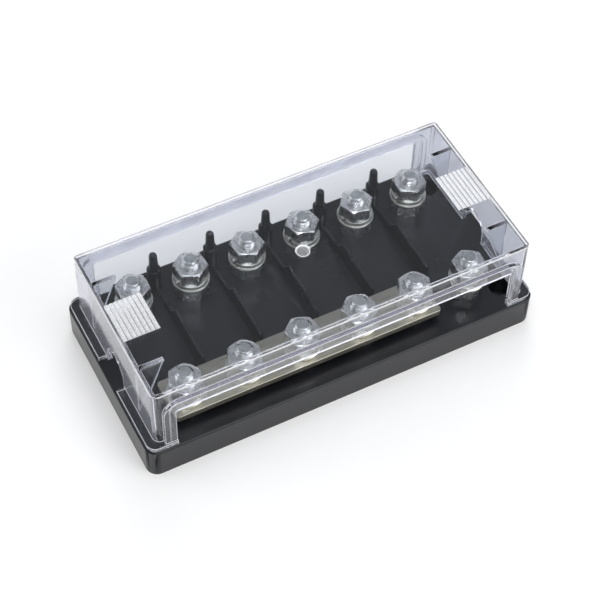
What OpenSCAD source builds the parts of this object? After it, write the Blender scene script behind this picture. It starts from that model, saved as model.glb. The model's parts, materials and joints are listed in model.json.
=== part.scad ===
// Six-way bolt-down fuse holder: moulded base, plated busbar, M8 studs with nuts and washers, clear cover.
// The origin is under the middle of the base. X runs along the rows, Y to the rear, Z up.

/* [Fuse bays] */
// Distance between neighbouring fuses
bay_pitch = 26.2; // [24:0.2:29]
// Distance between the front and rear stud rows
row_spacing = 51; // [48:0.5:56]
// Thickness of the dividers between the bays
divider_t = 1.5; // [1.2:0.1:2.4]
// Height of the dividers above the plinth
divider_h = 9; // [6:0.2:11]
// Height of the separator pins above the plinth
pin_h = 22; // [18:0.2:26]

/* [Base] */
// Height of the plinth
base_h = 14.6; // [13:0.2:18]
// Plan radius of the plinth corners
base_corner_r = 5; // [3:0.5:6]
// Edge radius along the top of the plinth
base_edge_r = 0.8; // [0.4:0.1:1.2]

/* [Busbar] */
// Width of the busbar
busbar_w = 19; // [17:0.5:19]
// Thickness of the busbar
busbar_t = 3; // [2:0.5:4]
// Length of the busbar beyond its end studs
busbar_end = 8.6; // [8:0.2:9]

/* [Cover] */
// Height of the cover above the plinth
cover_h = 33.4; // [30:0.2:40]
// Wall and top thickness of the cover
cover_wall = 2; // [1.6:0.1:2.4]
// Room inside the cover beyond the end bays
end_room = 4.8; // [3:0.2:8]
// Room inside the cover beyond each stud row
side_room = 11.95; // [11.4:0.05:14]
// Plan radius of the cover corners
cover_corner_r = 3; // [2.6:0.2:4]
// Edge radius around the top of the cover
cover_edge_r = 1.2; // [0.6:0.1:1.6]
// Height of the strip above each cable window
lintel_h = 11.5; // [10:0.5:15]
// Width of the legs beside each cable window
leg_w = 8.9; // [8:0.1:10]
// Width of the raised rim around each cable window
rim_w = 5.2; // [3:0.2:6]
// Depth of that rim outside the wall
rim_proud = 2; // [0.8:0.1:2.4]
// Thickness of the foot flange
flange_t = 2.2; // [1.6:0.1:3]

/* [Mounting] */
// Diameter of the screw holes
screw_hole_d = 5; // [4.2:0.1:5.4]
// Diameter of the recess for a screw head
screw_head_d = 9.4; // [8.6:0.1:10]

/* [Hidden] */
$fn = 64;
ways = 6;
bus_ways = 5;
rows = ["rear", "front"];

// Fasteners, in proportion to the thread: M8 as drawn
thread_d = 8;
stud_rise = 3.7;
head_h = 0.3 * thread_d;
hex_af = 1.625 * thread_d;
nut_h = 0.85 * thread_d;
washer_d = 2 * thread_d;
washer_t = 0.2 * thread_d;
spring_d = 1.85 * thread_d;
spring_t = 0.25 * thread_d;
spring_slit = 0.15 * thread_d;
spring_turn = 200;
spring_slant = 20;
hole_clearance = 0.4;
spring_clearance = 0.3;
nut_clearance = 0.04;
hex_clearance = 0.15;
head_recess = 0.2;
rear_turns = [29, 35, 37, 46, 52, 30];
front_turns = [8, 10, 40, 44, 8, 25];

// Levels, with each stack standing on a clamp nut that holds its stud
head_top_z = head_recess + head_h;
seat_z = base_h + nut_h;
busbar_z = seat_z - busbar_t;
stud_tip_z = seat_z + washer_t + spring_t + nut_h + stud_rise;

// Dividers, lowered beside the rear washers, and the column with a pin at their end
divider_z = base_h + divider_h;
washer_room = 2;
step_l = 3.5;
slope_y = row_spacing / 2 - washer_d / 2 - washer_room;
divider_rear_y = slope_y - step_l;
slope_rise = divider_h * 0.49;
slope_end_rise = 0.8;
column_d = 6.1;
column_rise = 11.7;
column_gap = 0.4;
column_y = row_spacing / 2 + side_room - column_d / 2 - column_gap;
pin_foot_d = 4.3;
pin_tip_d = 3.5;
pin_z = base_h + pin_h;

// Busbar, over the front studs of the first ways
busbar_l = (bus_ways - 1) * bay_pitch + 2 * busbar_end;
busbar_x = stud_x(1) - busbar_end;
busbar_corner_r = 1.5;
busbar_rear_y = busbar_w / 2 - row_spacing / 2;
divider_front_y = busbar_rear_y + 1.5;

// Cover around the bays, and the plinth around its foot
rest_gap = 0.3;
cover_l = ways * bay_pitch + 2 * (end_room + cover_wall);
cover_w = row_spacing + 2 * (side_room + cover_wall);
cover_z = base_h + rest_gap;
cover_top = base_h + cover_h;
flange_inset = 0.8;
end_margin = 4.4;
side_margin = 3.55;
base_l = cover_l + 2 * end_margin;
base_w = cover_w + 2 * side_margin;
flange_l = base_l - 2 * flange_inset;
flange_w = base_w - 2 * flange_inset;

// Cable windows, gussets, grips and the arch in each end
window_l = cover_l - 2 * leg_w;
window_top = cover_top - lintel_h;
window_r = 1.2;
rim_t = 1.8;
rim_jamb_lap = 2.8;
rim_head_lap = 0.8;
opening_r = 5;
gusset_l = 10.2;
gusset_drop = 27;
gusset_t = 1.8;
gusset_y = row_spacing / 2 - 2.5;
grip_w = 19.6;
grip_ribs = 8;
grip_pitch = 2;
grip_proud = 0.5;
grip_sag = 0.45;
grip_rib_r = (pow(grip_pitch / 2, 2) + pow(grip_sag, 2)) / (2 * grip_sag);
grip_edge = 1.3;
gate_d = 6.3;
gate_depth = 0.3;
arch_w = 15.4;
arch_h = 13.3;
notch_w = arch_w + 2.6;

// Screw recesses in the corners
screw_x = ways * bay_pitch / 2 + 0.7;
screw_y = row_spacing / 2 + 5.3;
screw_floor = 5;

// Places of the studs, the clamp nut below each stack, and how far each nut happens to be turned
function stud_x(way) = (way - (ways + 1) / 2) * bay_pitch;
function row_y(row) = row == "rear" ? row_spacing / 2 : -row_spacing / 2;
function clamp_h(row, way) = row == "front" && way <= bus_ways ? nut_h - busbar_t : nut_h;
function clamp_turn(row, way) = 13 * way + (row == "rear" ? 10 : 4);
function nut_turn(row, way) = row == "rear" ? rear_turns[way - 1] : front_turns[way - 1];

// Rectangle with round corners, about the origin
module round_rect(l, w, r) {
    square([l - 2 * r, w], center = true);
    square([l, w - 2 * r], center = true);
    for (x = [-1, 1], y = [-1, 1])
        translate([x * (l / 2 - r), y * (w / 2 - r)])
            circle(r);
}

// Upright outline with a flat foot and round top corners, from zero to h
module round_top(l, h, r) {
    translate([-l / 2, 0])
        square([l, h - r]);
    translate([r - l / 2, 0])
        square([l - 2 * r, h]);
    for (x = [-1, 1])
        translate([x * (l / 2 - r), h - r])
            circle(r);
}

// Block with round upright corners and a round edge along its top
module soft_block(l, w, h, corner_r, edge_r) {
    intersection() {
        linear_extrude(h)
            round_rect(l, w, corner_r);
        rotate([90, 0, 0])
            linear_extrude(w + 2, center = true)
                round_top(l, h, edge_r);
        rotate([90, 0, 90])
            linear_extrude(l + 2, center = true)
                round_top(w, h, edge_r);
    }
}

// Box from a corner to the opposite corner
module span_box(low, high) {
    translate(low)
        cube(high - low);
}

// Hexagon prism from zero to h, with flats across Y
module hexagon(af, h) {
    cylinder(h = h, d = af / cos(30), $fn = 6);
}

// Turned profile that takes the corners off a hexagon
module hexagon_turning(af, h, low_cut, high_cut) {
    corner = af / cos(30) / 2;
    face = af / 2 - 0.2;
    drop = (corner - face) * tan(30);
    rotate_extrude()
        polygon([
            [0, 0],
            [low_cut ? face : corner + 1, 0],
            [corner + 1, low_cut ? drop * (corner + 1 - face) / (corner - face) : 0],
            [corner + 1, high_cut ? h - drop * (corner + 1 - face) / (corner - face) : h],
            [high_cut ? face : corner + 1, h],
            [0, h]
        ]);
}

// Stud holes, with hexagon pockets for the bolt heads below
module stud_cuts() {
    for (way = [1 : ways], row = rows)
        translate([stud_x(way), row_y(row), -1]) {
            cylinder(h = base_h + 2, d = thread_d + hole_clearance);
            hexagon(hex_af + 2 * hex_clearance, head_top_z + 1);
        }
}

// Screw holes with round head recesses
module screw_cuts() {
    for (x = [-1, 1], y = [-1, 1])
        translate([x * screw_x, y * screw_y, -1]) {
            cylinder(h = base_h, d = screw_hole_d);
            translate([0, 0, screw_floor + 1])
                cylinder(h = base_h, d = screw_head_d);
        }
}

// Divider between two bays: level between the rows, then sloped down to its column
module divider() {
    rotate([90, 0, 90])
        linear_extrude(divider_t, center = true)
            polygon([
                [divider_front_y, base_h - 1],
                [divider_front_y, divider_z],
                [divider_rear_y, divider_z],
                [slope_y, base_h + slope_rise],
                [column_y, base_h + slope_end_rise],
                [column_y, base_h - 1]
            ]);
}

// Separator pin on a round column
module separator_pin() {
    translate([0, 0, base_h - 1])
        cylinder(h = column_rise + 1, d = column_d);
    translate([0, 0, base_h + column_rise])
        cylinder(h = pin_h - pin_tip_d / 2 - column_rise, d1 = pin_foot_d, d2 = pin_tip_d);
    translate([0, 0, pin_z - pin_tip_d / 2])
        sphere(d = pin_tip_d);
}

// Base moulding
module base() {
    color("#1b1b1f")
        difference() {
            union() {
                soft_block(base_l, base_w, base_h, base_corner_r, base_edge_r);
                for (way = [1 : ways - 1])
                    translate([stud_x(way) + bay_pitch / 2, 0, 0]) {
                        divider();
                        translate([0, column_y, 0])
                            separator_pin();
                    }
            }
            stud_cuts();
            screw_cuts();
        }
}

// Busbar with a clearance hole for each stud
module busbar() {
    color("#8d8b80")
        translate([busbar_x, -row_spacing / 2, busbar_z])
            difference() {
                translate([busbar_l / 2, 0, 0])
                    linear_extrude(busbar_t)
                        round_rect(busbar_l, busbar_w, busbar_corner_r);
                for (way = [1 : bus_ways])
                    translate([stud_x(way) - busbar_x, 0, -1])
                        cylinder(h = busbar_t + 2, d = thread_d + hole_clearance);
            }
}

// Outline of a cable window from the foot up, grown at its sides and head
module window_outline(side, head, corner_r) {
    translate([0, cover_z - 1])
        round_top(window_l + 2 * side, window_top - cover_z + 1 + head, corner_r);
}

// Foot flange around the corners and ends, with a notch in front of each arch
module foot_flange() {
    difference() {
        linear_extrude(flange_t)
            round_rect(flange_l, flange_w, base_corner_r - flange_inset);
        translate([0, 0, -1]) {
            linear_extrude(flange_t + 2)
                round_rect(
                    cover_l - 2 * cover_wall + 1,
                    cover_w - 2 * cover_wall + 1,
                    cover_corner_r - cover_wall + 0.5
                );
            for (x = [-1, 1])
                translate([x * (cover_l / 2 + end_margin), 0, flange_t / 2 + 1])
                    cube([2 * end_margin, notch_w, flange_t + 2], center = true);
        }
    }
}

// Outline of the arch through the end walls
module end_arch() {
    translate([-arch_w / 2, cover_z - 1])
        square([arch_w, arch_h + 1 - arch_w / 2]);
    translate([0, cover_z + arch_h - arch_w / 2])
        circle(d = arch_w);
}

// Finger grip: a row of low round ribs that meet in grooves
module grip() {
    outer = cover_l / 2 - grip_edge;
    intersection() {
        for (rib = [0 : grip_ribs - 1])
            translate([outer - (rib + 0.5) * grip_pitch, 0, cover_top + grip_proud - grip_rib_r])
                rotate([90, 0, 0])
                    cylinder(h = grip_w, r = grip_rib_r, center = true);
        span_box([0, -grip_w, cover_top - cover_wall / 2], [cover_l, grip_w, cover_top + cover_wall]);
    }
}

// Gusset between the top and an end wall
module gusset() {
    inner = cover_l / 2 - cover_wall;
    ceiling = cover_top - cover_wall;
    rotate([90, 0, 0])
        linear_extrude(gusset_t, center = true)
            polygon([
                [inner - gusset_l, ceiling],
                [inner - gusset_l, ceiling + 1],
                [inner + 1, ceiling + 1],
                [inner + 1, ceiling - gusset_drop],
                [inner, ceiling - gusset_drop]
            ]);
}

// Clear cover
module cover() {
    color([0.87, 0.87, 0.9, 0.35])
        difference() {
            union() {
                difference() {
                    union() {
                        translate([0, 0, cover_z])
                            soft_block(cover_l, cover_w, cover_top - cover_z, cover_corner_r, cover_edge_r);
                        intersection() {
                            rotate([90, 0, 0])
                                linear_extrude(cover_w + 2 * rim_proud, center = true)
                                    window_outline(rim_w, rim_w, window_r + rim_w);
                            span_box([-cover_l, -cover_w, cover_z], [cover_l, cover_w, cover_top]);
                        }
                        translate([0, 0, cover_z])
                            foot_flange();
                    }
                    translate([0, 0, cover_z - 1])
                        linear_extrude(cover_top - cover_wall - cover_z + 1)
                            round_rect(
                                cover_l - 2 * cover_wall,
                                cover_w - 2 * cover_wall,
                                cover_corner_r - cover_wall
                            );
                    rotate([90, 0, 0]) {
                        linear_extrude(2 * base_w, center = true)
                            window_outline(0, 0, window_r);
                        linear_extrude(cover_w + 2 * (rim_proud - rim_t), center = true)
                            window_outline(rim_w - rim_jamb_lap, rim_w - rim_head_lap, opening_r);
                    }
                    rotate([90, 0, 90])
                        linear_extrude(2 * base_l, center = true)
                            end_arch();
                }
                for (side = [0, 180])
                    rotate(side) {
                        grip();
                        for (y = [-1, 1])
                            translate([0, y * gusset_y, 0])
                                gusset();
                    }
            }
            translate([0, 0, cover_top - gate_depth])
                cylinder(h = 1, d = gate_d);
        }
}

// Stud: bolt with a thin hexagon head, pushed up through the base, with the nut that clamps it there
module stud(clamp_h, clamp_turn) {
    color("#c3c7cb") {
        translate([0, 0, head_recess])
            intersection() {
                hexagon(hex_af, head_h);
                hexagon_turning(hex_af, head_h, true, false);
            }
        rotate_extrude()
            polygon([
                [0, head_top_z - 1],
                [thread_d / 2, head_top_z - 1],
                [thread_d / 2, stud_tip_z - 1],
                [thread_d / 2 - 1, stud_tip_z],
                [0, stud_tip_z]
            ]);
        translate([0, 0, base_h])
            rotate(clamp_turn)
                intersection() {
                    hexagon(hex_af, clamp_h);
                    hexagon_turning(hex_af, clamp_h, true, true);
                }
    }
}

// Flat washer, on the seat or the busbar
module flat_washer() {
    color("#bdb9a8")
        translate([0, 0, seat_z])
            difference() {
                cylinder(h = washer_t, d = washer_d);
                translate([0, 0, -1])
                    cylinder(h = washer_t + 2, d = thread_d + hole_clearance);
            }
}

// Split spring washer, pressed flat
module spring_washer() {
    color("#b9bdc1")
        translate([0, 0, seat_z + washer_t])
            difference() {
                cylinder(h = spring_t, d = spring_d);
                translate([0, 0, -1])
                    cylinder(h = spring_t + 2, d = thread_d + spring_clearance);
                rotate(spring_turn)
                    translate([spring_d / 2, 0, spring_t / 2])
                        rotate([spring_slant, 0, 0])
                            cube([spring_d, spring_slit, 3 * spring_t], center = true);
            }
}

// Hexagon nut, both ends turned
module nut() {
    color("#c9cdd1")
        translate([0, 0, seat_z + washer_t + spring_t])
            difference() {
                intersection() {
                    hexagon(hex_af, nut_h);
                    hexagon_turning(hex_af, nut_h, true, true);
                }
                translate([0, 0, -1])
                    cylinder(h = nut_h + 2, d = thread_d + nut_clearance);
            }
}

base();
busbar();
cover();
for (row = rows, way = [1 : ways])
    translate([stud_x(way), row_y(row), 0]) {
        stud(clamp_h(row, way), clamp_turn(row, way));
        flat_washer();
        spring_washer();
        rotate(nut_turn(row, way)) nut();
    }
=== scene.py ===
import json
from math import radians

import bmesh
import bpy
from mathutils import Matrix, Vector


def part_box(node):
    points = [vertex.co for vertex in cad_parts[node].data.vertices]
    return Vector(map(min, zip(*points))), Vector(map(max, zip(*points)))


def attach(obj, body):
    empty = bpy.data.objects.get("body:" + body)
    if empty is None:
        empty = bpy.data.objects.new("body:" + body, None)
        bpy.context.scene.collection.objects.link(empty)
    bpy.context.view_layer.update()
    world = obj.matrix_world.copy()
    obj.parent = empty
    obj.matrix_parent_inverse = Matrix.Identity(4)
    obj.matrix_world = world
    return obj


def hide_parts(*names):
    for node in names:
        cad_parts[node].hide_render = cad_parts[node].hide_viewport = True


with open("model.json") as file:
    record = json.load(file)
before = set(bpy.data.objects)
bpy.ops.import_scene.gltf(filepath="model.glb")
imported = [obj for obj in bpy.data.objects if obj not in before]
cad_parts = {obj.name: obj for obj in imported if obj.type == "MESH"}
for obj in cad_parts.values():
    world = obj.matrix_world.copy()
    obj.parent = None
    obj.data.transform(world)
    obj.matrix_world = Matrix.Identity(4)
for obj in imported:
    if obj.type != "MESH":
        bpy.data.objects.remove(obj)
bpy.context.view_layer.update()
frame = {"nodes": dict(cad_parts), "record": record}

# ---- Base
# One solid moulding of black ABS with thin dividers between the fuse bays and a row of separator pins behind them.
# It comes from a smooth mould, so light slides over it with a satin sheen, and the dividers' top edges are eased.
# A screw in a recess near each corner holds it down.


def linear(hex_colour):
    """An sRGB hex colour as linear red, green, blue and alpha."""
    parts = [int(hex_colour[i:i + 2], 16) / 255 for i in (1, 3, 5)]
    return [p / 12.92 if p <= 0.04045 else ((p + 0.055) / 1.055) ** 2.4 for p in parts] + [1]


def add(tree, kind, settings, links):
    """Adds a node, sets its sockets or properties by name and links its sockets."""
    node = tree.nodes.new(kind)
    for name, value in settings.items():
        if isinstance(name, int) or name in node.inputs:
            node.inputs[name].default_value = value
        else:
            setattr(node, name, value)
    for name, source in links.items():
        tree.links.new(source, node.inputs[name])
    return node


def bare_material(name):
    """A new material with no nodes yet, and its tree."""
    material = bpy.data.materials.new(name)
    material.use_nodes = True
    material.node_tree.nodes.clear()
    return material, material.node_tree


def eased(node, width, sharp_deg, crisp=lambda spot: False, trim=0):
    """A copy of a solid, its triangles joined and its sharp edges eased in the trim material, but for crisp ones."""
    weld, flat_deg = 2e-6, 0.5
    bm = bmesh.new()
    bm.from_mesh(frame["nodes"][node].data)
    bmesh.ops.remove_doubles(bm, verts=bm.verts, dist=weld)
    bmesh.ops.dissolve_limit(bm, angle_limit=radians(flat_deg), verts=bm.verts, edges=bm.edges)
    sharp = [e for e in bm.edges if len(e.link_faces) == 2 and e.calc_face_angle() > radians(sharp_deg)]
    sharp = [e for e in sharp if not crisp((e.verts[0].co + e.verts[1].co) / 2)]
    easing = bmesh.ops.bevel(
        bm, geom=sharp, offset=width, offset_type="OFFSET", segments=1, profile=0.5, affect="EDGES",
        clamp_overlap=True, material=-1,
    )
    for face in easing["faces"]:
        face.material_index = trim
    bm.normal_update()
    return bm


def fitted(bm, node, name, slot, *materials):
    """Puts the finished piece in place of its solid, riding on the body that the solid belongs to."""
    crease_deg = 35
    mesh = bpy.data.meshes.new(name)
    bm.to_mesh(mesh)
    bm.free()
    for material in materials:
        mesh.materials.append(material)
    mesh.shade_smooth()
    mesh.set_sharp_from_angle(angle=radians(crease_deg))
    piece = bpy.data.objects.new(name, mesh)
    bpy.context.scene.collection.objects.link(piece)
    piece.modifiers.new("even_light", "WEIGHTED_NORMAL").keep_sharp = True
    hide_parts(node)
    for body, names in frame["record"]["behaviour"]["bodies"].items():
        if node in names:
            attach(piece, body)


# Moulded ABS: deep black with a cold cast, a satin gloss and a slight unevenness from the mould.
# The gloss drifts over about 17 mm, 60 times to the metre. The grain is drawn 0.4 mm wide, 2500 to the metre,
# which is coarser than the mould's own, so that it shows.
gloss_drift, mould_grain = 60, 2500
moulded_abs, tree = bare_material("moulded_black_abs")
place = add(tree, "ShaderNodeTexCoord", {}, {})
cloud = add(tree, "ShaderNodeTexNoise", {"Scale": gloss_drift, "Detail": 3}, {"Vector": place.outputs["Object"]})
gloss = add(tree, "ShaderNodeMapRange", {"To Min": 0.24, "To Max": 0.34}, {"Value": cloud.outputs["Fac"]})
grain = add(tree, "ShaderNodeTexNoise", {"Scale": mould_grain, "Detail": 2}, {"Vector": place.outputs["Object"]})
skin = add(tree, "ShaderNodeBump", {"Strength": 0.05, "Distance": 0.0002}, {"Height": grain.outputs["Fac"]})
plastic = add(
    tree, "ShaderNodeBsdfPrincipled",
    {"Base Color": linear("#15161a"), "IOR": 1.5},
    {"Roughness": gloss.outputs["Result"], "Normal": skin.outputs["Normal"]},
)
add(tree, "ShaderNodeOutputMaterial", {}, {"Surface": plastic.outputs["BSDF"]})

level = 1e-5  # heights no further apart than this are the same
square_deg = 40  # a sharper turn than this is an edge to ease
divider_top, divider_easing = 0.0236, 0.0004
base = eased("base", divider_easing, square_deg, lambda spot: abs(spot.z - divider_top) > level)
fitted(base, "base", "base_moulding", "base_plastic", moulded_abs)

# ---- Studs
# M8 hexagon bolts of zinc-plated steel, cold formed, with rolled threads.
# Each is pushed up through the base, where a pocket underneath holds its head, and clamped by a nut on top of it.


def zinc_plated(name, clouds, tints, shine, pits=None):
    """Plated steel: cloudy patches to the metre, their two tints and roughnesses, and pits by number, force, depth."""
    material, tree = bare_material(name)
    place = add(tree, "ShaderNodeTexCoord", {}, {})
    cloud = add(tree, "ShaderNodeTexNoise", {"Scale": clouds, "Detail": 4}, {"Vector": place.outputs["Object"]})
    gloss = add(
        tree, "ShaderNodeMapRange", {"To Min": shine[0], "To Max": shine[1]}, {"Value": cloud.outputs["Fac"]}
    )
    tint = add(
        tree, "ShaderNodeMix", {"data_type": "RGBA", "A": linear(tints[0]), "B": linear(tints[1])},
        {"Factor": cloud.outputs["Fac"]},
    )
    metal = add(
        tree, "ShaderNodeBsdfPrincipled", {"Metallic": 1},
        {"Base Color": tint.outputs["Result"], "Roughness": gloss.outputs["Result"]},
    )
    if pits:
        number, force, depth = pits
        pit = add(tree, "ShaderNodeTexNoise", {"Scale": number, "Detail": 3}, {"Vector": place.outputs["Object"]})
        skin = add(tree, "ShaderNodeBump", {"Strength": force, "Distance": depth}, {"Height": pit.outputs["Fac"]})
        tree.links.new(skin.outputs["Normal"], metal.inputs["Normal"])
    add(tree, "ShaderNodeOutputMaterial", {}, {"Surface": metal.outputs["BSDF"]})
    return material


# Bright zinc plating: a cool silver with faint cloudy patches and soft reflections. The patches are 2.9 mm wide,
# 350 to the metre. The pits are drawn 0.7 mm wide, 1400 to the metre, coarser than real ones so that they show.
bright_zinc = zinc_plated(
    "bright_zinc_plated_steel", 350, ("#dadbda", "#f2f2f1"), (0.2, 0.36), pits=(1400, 0.15, 0.0001)
)

# Rolled bolt end: the same plating over a rough end face, so duller and darker than the nut around it.
# Its patches are 2 mm wide, 500 to the metre, and its dents 1.1 mm, 900 to the metre.
dull_zinc = zinc_plated(
    "dull_zinc_plated_steel", 500, ("#8e9292", "#c8cbca"), (0.3, 0.5), pits=(900, 0.5, 0.0002)
)

# The end of the thread that shows above a nut: one ridge wound up at M8's pitch, with its tip turned to a cone.
# The ridge's outline is given by radius and by height in pitches.
pitch, crest_r, root_r = 0.00125, 0.004, 0.00325
thread_low, thread_high, tip_cone = 0.0308, 0.0355, 0.0015
ridge_outline = ((root_r, 0), (root_r, 0.15), (crest_r, 0.5), (crest_r, 0.65), (root_r, 1))
steps, turns = 40, 6
thread = bmesh.new()
ridge = [thread.verts.new((r, 0, thread_low - pitch + z * pitch)) for r, z in ridge_outline]
ridge_edges = [thread.edges.new(pair) for pair in zip(ridge, ridge[1:])]
bmesh.ops.spin(
    thread, geom=ridge + ridge_edges, cent=(0, 0, 0), axis=(0, 0, 1), dvec=(0, 0, pitch / steps),
    angle=radians(360 * turns), steps=steps * turns, use_merge=False, use_duplicate=False,
)
bmesh.ops.remove_doubles(thread, verts=thread.verts, dist=1e-6)
for height, side in ((thread_low, -1), (thread_high, 1)):
    bmesh.ops.bisect_plane(
        thread, geom=thread.verts[:] + thread.edges[:] + thread.faces[:], dist=1e-7,
        plane_co=(0, 0, height), plane_no=(0, 0, side), clear_outer=True,
    )
bmesh.ops.holes_fill(thread, edges=[e for e in thread.edges if e.is_boundary], sides=0)
for v in thread.verts:
    r = v.co.xy.length
    limit = crest_r - max(0, v.co.z - (thread_high - tip_cone))
    if r > limit:
        v.co.xy *= limit / r
bmesh.ops.recalc_face_normals(thread, faces=thread.faces)
thread_end = bpy.data.meshes.new("thread_end")
thread.to_mesh(thread_end)
thread.free()

# The plain shank is cut off a little way into the thread's end, which then stands on it, its flat end left dull.
shank_easing, hexagon_deg, overlap = 0.00012, 25, 0.0002
stud_finishes = [bright_zinc, dull_zinc]
for row in ("rear", "front"):
    for way in range(1, 7):
        node = f"{row}_stud_{way}"
        low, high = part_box(node)
        stud = eased(node, shank_easing, hexagon_deg)
        bmesh.ops.bisect_plane(
            stud, geom=stud.verts[:] + stud.edges[:] + stud.faces[:], dist=1e-7,
            plane_co=(0, 0, thread_low + overlap), plane_no=(0, 0, 1), clear_outer=True,
        )
        bmesh.ops.holes_fill(stud, edges=[e for e in stud.edges if e.is_boundary], sides=0)
        shank = set(stud.verts)
        stud.from_mesh(thread_end)
        bmesh.ops.translate(
            stud, verts=[v for v in stud.verts if v not in shank],
            vec=((low.x + high.x) / 2, (low.y + high.y) / 2, 0),
        )
        stud.normal_update()
        for face in stud.faces:
            if face.normal.z > 0.95 and face.calc_center_median().z > thread_high - level:
                face.material_index = stud_finishes.index(dull_zinc)
        fitted(stud, node, f"{row}_threaded_stud_{way}", "fastener_zinc", *stud_finishes)

# ---- Busbar
# A flat copper bar, cut from strip, punched with five holes and plated with tin.
# It lies on the clamp nuts of the front studs of ways 1 to 5 and links them.

# Tin plate over brushed copper: a warm grey with fine streaks along the bar, which draw its highlights out.
# The streaks are 17 mm long and 0.4 mm wide, 60 and 2500 to the metre, wider than real brush marks so that they show.
streaks = (60, 2500, 2500)
tin_plate, tree = bare_material("tin_plated_copper")
place = add(tree, "ShaderNodeTexCoord", {}, {})
stretch = add(tree, "ShaderNodeMapping", {"Scale": streaks}, {"Vector": place.outputs["Object"]})
brush = add(tree, "ShaderNodeTexNoise", {"Scale": 1, "Detail": 3}, {"Vector": stretch.outputs["Vector"]})
gloss = add(tree, "ShaderNodeMapRange", {"To Min": 0.22, "To Max": 0.4}, {"Value": brush.outputs["Fac"]})
tint = add(
    tree, "ShaderNodeMix", {"data_type": "RGBA", "A": linear("#a9a596"), "B": linear("#c9c6ba")},
    {"Factor": brush.outputs["Fac"]},
)
metal = add(
    tree, "ShaderNodeBsdfPrincipled", {"Metallic": 1},
    {"Base Color": tint.outputs["Result"], "Roughness": gloss.outputs["Result"]},
)
add(tree, "ShaderNodeOutputMaterial", {}, {"Surface": metal.outputs["BSDF"]})

bar_easing = 0.0004
fitted(eased("busbar", bar_easing, square_deg), "busbar", "busbar_plate", "busbar_plating", tin_plate)

# ---- Washers and nuts
# A flat washer, a split spring washer and a hexagon nut on each stud, of steel plated with zinc.
# The flat washers are punched, the spring washers coiled from wire and the nuts cold formed, with an eased top rim.

# Washer plating: a little warmer and duller than the nuts, with cloudy patches 2.5 mm wide, 400 to the metre.
washer_zinc = zinc_plated("zinc_plated_washer_steel", 400, ("#c6c6be", "#e2e2dc"), (0.26, 0.42))

washer_easing = 0.0002
rim_easing, rim_height = 0.0004, 0.001
for row in ("rear", "front"):
    for way in range(1, 7):
        for part, name in (("flat_washer", "plain_washer"), ("spring_washer", "split_washer")):
            node = f"{row}_{part}_{way}"
            washer = eased(node, washer_easing, square_deg)
            fitted(washer, node, f"{row}_{name}_{way}", "washer_zinc", washer_zinc)
        node = f"{row}_nut_{way}"
        nut_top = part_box(node)[1].z
        nut = eased(node, rim_easing, hexagon_deg, lambda spot: spot.z < nut_top - rim_height)
        fitted(nut, node, f"{row}_hexagon_nut_{way}", "fastener_zinc", bright_zinc)

# ---- Cover
# One clear polycarbonate moulding, polished inside and out, with a cable window in each long side, gussets at its
# ends and ribbed finger grips on top. Its foot flange rests on the base, and it is lifted off by hand.

polycarbonate_ior = 1.585


def clear_plastic(name, tint, clearness, dull, bright):
    """Polycarbonate that lamps shine through, so the pieces inside are lit and cast their own shadows."""
    flow_marks = 40  # to the metre: the melt's flow leaves marks 25 mm wide
    material, tree = bare_material(name)
    place = add(tree, "ShaderNodeTexCoord", {}, {})
    flow = add(tree, "ShaderNodeTexNoise", {"Scale": flow_marks, "Detail": 2}, {"Vector": place.outputs["Object"]})
    gloss = add(tree, "ShaderNodeMapRange", {"To Min": bright, "To Max": dull}, {"Value": flow.outputs["Fac"]})
    ripple = add(tree, "ShaderNodeBump", {"Strength": 0.02, "Distance": 0.0005}, {"Height": flow.outputs["Fac"]})
    plastic = add(
        tree, "ShaderNodeBsdfPrincipled",
        {"Base Color": linear(tint), "IOR": polycarbonate_ior, "Transmission Weight": clearness},
        {"Roughness": gloss.outputs["Result"], "Normal": ripple.outputs["Normal"]},
    )
    path = add(tree, "ShaderNodeLightPath", {}, {})
    through = add(tree, "ShaderNodeBsdfTransparent", {"Color": linear("#ededf1")}, {})
    both = add(
        tree, "ShaderNodeMixShader", {},
        {0: path.outputs["Is Shadow Ray"], 1: plastic.outputs["BSDF"], 2: through.outputs["BSDF"]},
    )
    add(tree, "ShaderNodeOutputMaterial", {}, {"Surface": both.outputs["Shader"]})
    return material


# Clear polycarbonate: a faint violet-grey tint, and a gloss that the flow into the mould leaves slightly uneven.
# The end walls and the rear get a little whitish haze, a painted reflection for the light these steep walls
# reflect; the top and the front have none.
clear_pc = clear_plastic("clear_polycarbonate", "#e3e6eb", 1.0, 0.04, 0.01)
painted_sheen_wall_pc = clear_plastic("painted_sheen_wall_polycarbonate", "#ecedf4", 0.86, 0.1, 0.04)
# The far rounded edges and the front rim's shelf are seen along the wall. They get a dark grey tint, a painted
# shade for the dark lines that show along them.
painted_shade_edge_pc = clear_plastic("painted_shade_edge_polycarbonate", "#4a4a54", 0.9, 0.2, 0.1)


def frosted_plastic(name, clearness, grain, dull, bright):
    """Frosted polycarbonate, a rough mould skin or a painted highlight: grains to the metre, and how dull they are."""
    material, tree = bare_material(name)
    place = add(tree, "ShaderNodeTexCoord", {}, {})
    grit = add(tree, "ShaderNodeTexNoise", {"Scale": grain, "Detail": 2}, {"Vector": place.outputs["Object"]})
    haze = add(tree, "ShaderNodeMapRange", {"To Min": bright, "To Max": dull}, {"Value": grit.outputs["Fac"]})
    plastic = add(
        tree, "ShaderNodeBsdfPrincipled",
        {"Base Color": linear("#f6f6fa"), "IOR": polycarbonate_ior, "Transmission Weight": clearness},
        {"Roughness": haze.outputs["Result"]},
    )
    add(tree, "ShaderNodeOutputMaterial", {}, {"Surface": plastic.outputs["BSDF"]})
    return material
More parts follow.
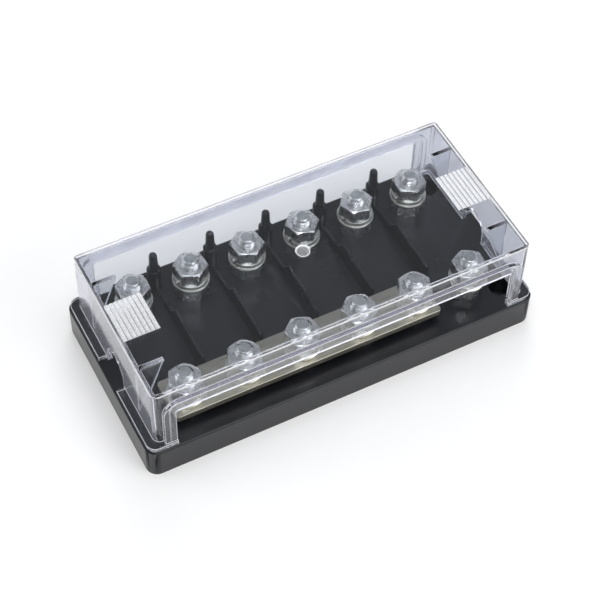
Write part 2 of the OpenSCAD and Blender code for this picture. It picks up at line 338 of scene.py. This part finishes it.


# The cover's eased edges, ledges, slopes and the top over its walls get a white frost that glows where light reaches
# it, a painted highlight for the bright lines that light draws along clear edges; the gate mark's ring is frosted
# too. The grips are nearly white, and the gate mark, where the sprue was cut off, lets light through but is
# scratched dull. The frost's grains are drawn 0.33 mm wide, 3000 to the metre, and the scratches 1.1 mm, 900 to the
# metre, coarser than real ones so that they show.
frost, scratches = 3000, 900
frost_and_glint_pc = frosted_plastic("frosted_and_painted_glint_polycarbonate", 0.35, frost, 0.4, 0.2)
grip_pc = frosted_plastic("etched_polycarbonate", 0.38, frost, 0.35, 0.2)
ground_pc = frosted_plastic("ground_polycarbonate", 0.92, scratches, 0.6, 0.15)
finishes = [clear_pc, frost_and_glint_pc, ground_pc, painted_sheen_wall_pc, grip_pc, painted_shade_edge_pc]

rib_height, rib_foot, grip_x = 0.0005, 0.0002, 0.06
flat_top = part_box("cover")[1].z - rib_height
moulded_easing = 0.00025
# Its eased edges take the frost, a painted highlight for the bright lines along the clear cover's edges.
cover = eased(
    "cover", moulded_easing, square_deg, lambda spot: spot.z > flat_top - level and abs(spot.x) > grip_x,
    finishes.index(frost_and_glint_pc),
)

# The flat top is cut along the inner faces of the rear and right walls, because it is seen edge on beyond them.
wall_x, wall_y = 0.0834, 0.03745
for side in ((wall_x, 0, 0), (0, wall_y, 0)):
    top = [f for f in cover.faces if f.normal.z > 0.999 and abs(f.calc_center_median().z - flat_top) < level]
    rim = list(dict.fromkeys(item for f in top for item in f.edges[:] + f.verts[:]))
    bmesh.ops.bisect_plane(cover, geom=top + rim, dist=1e-6, plane_co=side, plane_no=side)

# The gate mark is a small round dip in the middle of the top, with a frosted ring around it.
gate_r, gate_depth, ring = 0.003, 0.0006, 0.0005
gate = [
    f for f in cover.faces
    if f.normal.z > 0.999 and max(v.co.xy.length for v in f.verts) < gate_r
    and f.calc_center_median().z > flat_top - gate_depth
]
gate_ring = bmesh.ops.inset_individual(cover, faces=gate, thickness=ring)["faces"]
cover.normal_update()

# Each face takes its finish from where it lies: rounded edges, ledges above the windows, the front rim's shelf,
# the gussets' flat sides and the slopes under them, and the walls. The frost on edges, ledges, slopes and the top
# over the walls is a painted highlight, the dark grey on far edges and the shelf a painted shade, and the walls'
# haze a painted reflection.
edge_drop, edge_steep, edge_flat, front_edge_flat = 0.0013, 0.25, 0.85, 0.7
ledge_low, ledge_high, front_ledge_high = 0.035, 0.0455, 0.0385
shelf_y, shelf_low, shelf_drop = -0.039, 0.041, 0.0005
gusset_in, gusset_out = 0.021, 0.025
for face in cover.faces:
    middle, normal = face.calc_center_median(), face.normal
    faces_up, faces_down, faces_front = normal.z > 0.9, normal.z < -0.9, normal.y < -0.1
    in_rear = middle.y > 0
    on_edge = flat_top - edge_drop < middle.z < flat_top
    on_edge = on_edge and edge_steep < normal.z < (front_edge_flat if faces_front else edge_flat)
    far_edge = on_edge and (normal.x > 0.1 or normal.y > 0.1) and not faces_front
    over_wall = abs(middle.z - flat_top) < level and (middle.y > wall_y or middle.x > wall_x)
    on_slope = abs(normal.x) > 0.3 and normal.z < -0.2
    on_ledge = (faces_down or faces_up and in_rear) and ledge_low < middle.z < ledge_high
    on_ledge = on_ledge and (in_rear or middle.z < front_ledge_high)
    on_shelf = faces_up and middle.y < shelf_y and shelf_low < middle.z < flat_top - shelf_drop
    on_grip = middle.z > flat_top + rib_foot and abs(middle.x) > grip_x
    on_gusset = abs(normal.y) > 0.9 and gusset_in < abs(middle.y) < gusset_out
    on_wall = abs(normal.z) < 0.05 and (abs(normal.x) > 0.97 or in_rear) and not on_gusset
    face_look = finishes[face.material_index]
    if face in gate_ring:
        face_look = frost_and_glint_pc
    elif face in gate:
        face_look = ground_pc
    # Far edges and the front shelf: dark grey, a painted shade.
    elif far_edge or on_shelf:
        face_look = painted_shade_edge_pc
    elif on_grip:
        face_look = grip_pc
    # Edges, the top over the walls, slopes and ledges: white frost, a painted highlight.
    elif on_edge or over_wall or on_slope or on_ledge:
        face_look = frost_and_glint_pc
    # Walls: a whitish haze, a painted reflection.
    elif on_wall and face_look == clear_pc:
        face_look = painted_sheen_wall_pc
    face.material_index = finishes.index(face_look)
fitted(cover, "cover", "clear_cover", "cover_clear", *finishes)

# ---- Floor, light and camera
# The part stands on a plain white table, painted matt, under soft studio light from above and all round.
# The camera looks down on it from the front left through a long lens.

table_half = 4
floor_mesh = bpy.data.meshes.new("table")
bm = bmesh.new()
bmesh.ops.create_grid(bm, x_segments=1, y_segments=1, size=table_half)
bm.to_mesh(floor_mesh)
bm.free()
table = bpy.data.objects.new("table", floor_mesh)
bpy.context.scene.collection.objects.link(table)

# Matt white paint: pale, with the part's soft shadow on it. A faint glow takes it up to the white of the background
# where it is seen, also in metal and through plastic, and puts no more light on the part.
table_glow = 0.08
white_table, tree = bare_material("white_table")
path = add(tree, "ShaderNodeLightPath", {}, {})
seen = add(
    tree, "ShaderNodeMath", {"operation": "MAXIMUM"},
    {0: path.outputs["Is Camera Ray"], 1: path.outputs["Is Glossy Ray"]},
)
seen = add(
    tree, "ShaderNodeMath", {"operation": "MAXIMUM"},
    {0: seen.outputs[0], 1: path.outputs["Is Transmission Ray"]},
)
glow = add(tree, "ShaderNodeMath", {"operation": "MULTIPLY", 1: table_glow}, {0: seen.outputs[0]})
paint = add(tree, "ShaderNodeBsdfDiffuse", {"Color": linear("#e6e6e6")}, {})
lit = add(tree, "ShaderNodeEmission", {"Color": linear("#ffffff")}, {"Strength": glow.outputs[0]})
both = add(tree, "ShaderNodeAddShader", {}, {0: paint.outputs[0], 1: lit.outputs[0]})
add(tree, "ShaderNodeOutputMaterial", {}, {"Surface": both.outputs[0]})
floor_mesh.materials.append(white_table)

world = bpy.data.worlds.new("studio")
world.use_nodes = True
studio_air = world.node_tree.nodes["Background"].inputs
studio_air["Color"].default_value = linear("#f9fcff")
studio_air["Strength"].default_value = 0.24
bpy.context.scene.world = world

# Each lamp's place, width and depth in metres, and its watts. The lamps behind and to the left stay out of
# reflections, where they would lay a white veil over the cover's top.
part_middle = Vector((0, 0, 0.02))
unmirrored = ("rear_softbox", "left_softbox")
for name, place, width, depth, watts in (
    ("top_softbox", (0, 0, 1.2), 1.0, 1.0, 5),
    ("rear_softbox", (0.5, 1.0, 0.6), 0.8, 0.5, 6.5),
    ("right_softbox", (0.55, -0.87, 0.62), 1.0, 0.7, 6.5),
    ("left_softbox", (-0.92, 0.64, 0.4), 0.8, 0.5, 3),
    ("front_lamp", (-0.22, -0.41, 1.1), 0.3, 0.3, 4.5),
):
    light = bpy.data.lights.new(name, "AREA")
    light.shape = "RECTANGLE"
    light.size = width
    light.size_y = depth
    light.energy = watts
    lamp = bpy.data.objects.new(name, light)
    lamp.visible_glossy = name not in unmirrored
    lamp.location = place
    lamp.rotation_euler = (part_middle - Vector(place)).to_track_quat("-Z", "Y").to_euler()
    bpy.context.scene.collection.objects.link(lamp)

lens = bpy.data.cameras.new("photo_camera")
lens.lens = 102.0
lens.sensor_width = 36
lens.clip_start = 0.01
camera = bpy.data.objects.new("photo_camera", lens)
stand = (-0.2118, -0.3844, 0.5857)
right = Vector((0.8881, -0.4593, 0.0192)).normalized()
ahead = Vector((0.2935, 0.5343, -0.7927))
ahead = (ahead - ahead.project(right)).normalized()
turn = Matrix((right, right.cross(ahead), -ahead)).transposed()
camera.matrix_world = Matrix.Translation(stand) @ turn.to_4x4()
bpy.context.scene.collection.objects.link(camera)
bpy.context.scene.camera = camera

bpy.context.scene.view_settings.view_transform = "Standard"
